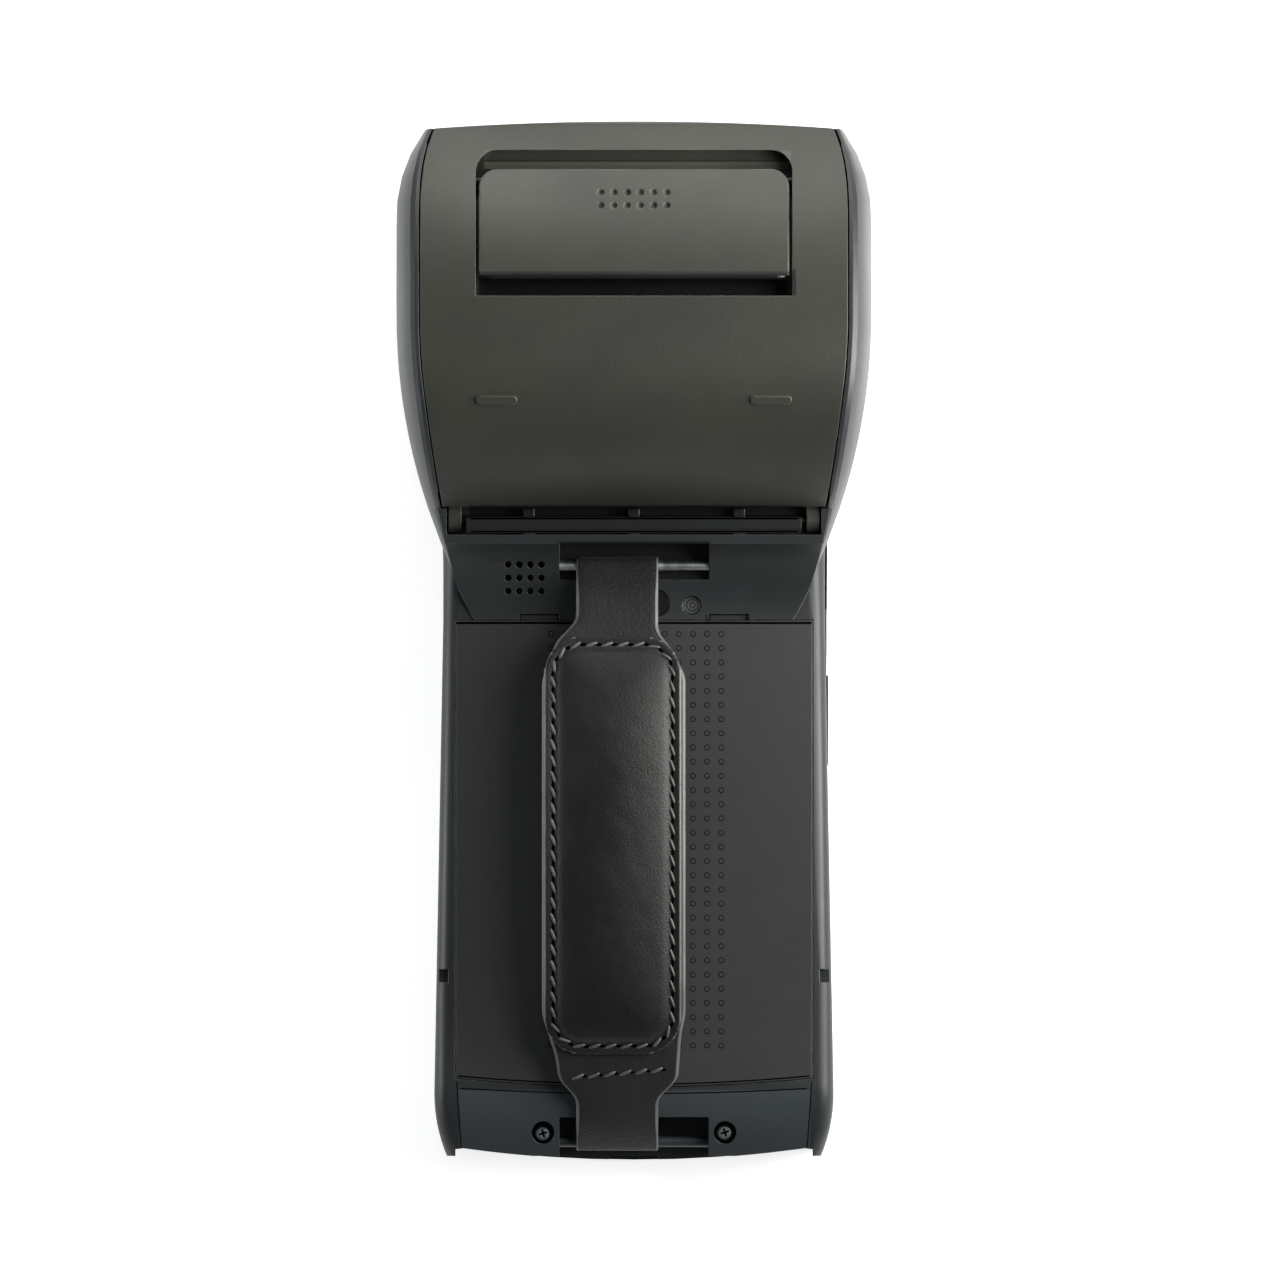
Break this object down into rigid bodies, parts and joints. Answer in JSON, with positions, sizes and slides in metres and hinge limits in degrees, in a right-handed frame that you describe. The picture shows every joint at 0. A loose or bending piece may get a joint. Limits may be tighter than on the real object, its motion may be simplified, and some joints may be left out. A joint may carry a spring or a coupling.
{
  "type": "handheld mobile computer",
  "caption": "Handheld mobile computer with a receipt printer in its head, a hinged lid with a release lever, side keys and a padded hand strap.",
  "frame": {"origin": "middle of the front bezel's rim, on the surface that the device lies on face down", "axes": "+Z out of the back, +Y towards the printer head, +X to the right seen from the back"},
  "size_m": [0.0902, 0.1974, 0.052],
  "materials": {
    "housing": "fine textured moulded plastic",
    "lid_plastic": "fine textured moulded plastic",
    "cover_plastic": "fine textured moulded plastic",
    "key_plastic": "satin moulded plastic",
    "bin_plastic": "smooth moulded plastic",
    "cover_glass": "black backed glass",
    "lens": "black lens window",
    "flash_lens": "milky diffuser",
    "dark_metal": "plain",
    "circuit_board": "solder mask",
    "bright_steel": "plain",
    "black_steel": "blackened",
    "chassis_steel": "plated",
    "aluminium": "plain",
    "bush_brass": "plain",
    "gear_plastic": "natural moulded plastic",
    "platen_rubber": "ground rubber",
    "switch_plastic": "plain",
    "contact_plastic": "plain",
    "battery_wrap": "plain wrap",
    "paper": "plain",
    "cardboard": "plain",
    "strap_leather": "grained black leather",
    "pad_leather": "soft black leather"
  },
  "bodies": {
    "housing": {"front_shell": "housing", "cover_glass": "cover_glass", "display_module": "dark_metal", "earpiece": "dark_metal", "main_board": "circuit_board", "shield_cans": "bright_steel", "usb_port": "bright_steel", "side_switches": "switch_plastic", "rear_shell": "housing", "battery_pack": "battery_wrap", "battery_contacts": "contact_plastic", "battery_cover": "cover_plastic", "housing_screws": "black_steel", "paper_bin": "bin_plastic", "hinge_pin": "bright_steel", "hinge_strip": "housing", "printer_chassis": "chassis_steel", "stepper_motor": "chassis_steel", "head_springs": "bright_steel", "tear_bar": "bright_steel", "camera_module": "contact_plastic", "camera_window": "lens", "flash_window": "flash_lens", "speaker": "dark_metal", "strap_bar": "bright_steel", "strap_web": "strap_leather", "strap_pad": "pad_leather"},
    "lid": {"printer_lid": "lid_plastic", "platen_carrier": "chassis_steel", "carrier_screws": "black_steel", "platen_bushes": "bush_brass", "lever_spring": "bright_steel"},
    "lever": {"release_lever": "lid_plastic", "latch_shaft": "bright_steel", "latch_hooks": "bright_steel"},
    "platen": {"platen_shaft": "bright_steel", "platen_rubber": "platen_rubber", "platen_gear": "gear_plastic"},
    "idler": {"idler_gear": "gear_plastic"},
    "motor_rotor": {"motor_pinion": "gear_plastic"},
    "head": {"print_head": "aluminium"},
    "roll": {"paper_roll": "paper", "paper_core": "cardboard"},
    "power_key": {"power_key": "key_plastic"},
    "volume_key": {"volume_key": "key_plastic"}
  },
  "joints": [
    {"name": "lid_hinge", "type": "hinge", "parent": "housing", "child": "lid", "pos_m": [0, 0.023, 0.0264], "axis": [1, 0, 0], "range_deg": [0, 95]},
    {"name": "lever_pivot", "type": "hinge", "parent": "lid", "child": "lever", "pos_m": [0, 0.0873, 0.0394], "axis": [-1, 0, 0], "range_deg": [0, 45], "stiffness_Nm_per_rad": 0.02, "springref_deg": -20.05},
    {"name": "platen_spin", "type": "hinge", "parent": "lid", "child": "platen", "pos_m": [0, 0.0875, 0.028], "axis": [1, 0, 0], "continuous": true},
    {"name": "idler_spin", "type": "hinge", "parent": "housing", "child": "idler", "pos_m": [0, 0.0875, 0.01994], "axis": [1, 0, 0], "continuous": true},
    {"name": "motor_spin", "type": "hinge", "parent": "housing", "child": "motor_rotor", "pos_m": [0, 0.07999, 0.01487], "axis": [1, 0, 0], "continuous": true},
    {"name": "head_pivot", "type": "hinge", "parent": "housing", "child": "head", "pos_m": [0, 0.0828, 0.02205], "axis": [1, 0, 0], "range_deg": [-3, 0], "stiffness_Nm_per_rad": 0.05, "springref_deg": 17.19, "deforming": ["head_springs"]},
    {"name": "roll_spin", "type": "hinge", "parent": "housing", "child": "roll", "pos_m": [0, 0.051, 0.0268], "axis": [1, 0, 0], "continuous": true},
    {"name": "power_press", "type": "slide", "parent": "housing", "child": "power_key", "axis": [-1, 0, 0], "range_m": [0, 0.0004], "stiffness_N_per_m": 600, "springref_m": -0.0004},
    {"name": "volume_rock", "type": "hinge", "parent": "housing", "child": "volume_key", "pos_m": [0.0348, -0.015, 0.0114], "axis": [0, 0, 1], "range_deg": [-1.5, 1.5], "stiffness_Nm_per_rad": 0.05}
  ],
  "couplings": [
    {"joint": "idler_spin", "follows": "platen_spin", "ratio": -1.2857},
    {"joint": "motor_spin", "follows": "platen_spin", "ratio": 2.5714}
  ]
}
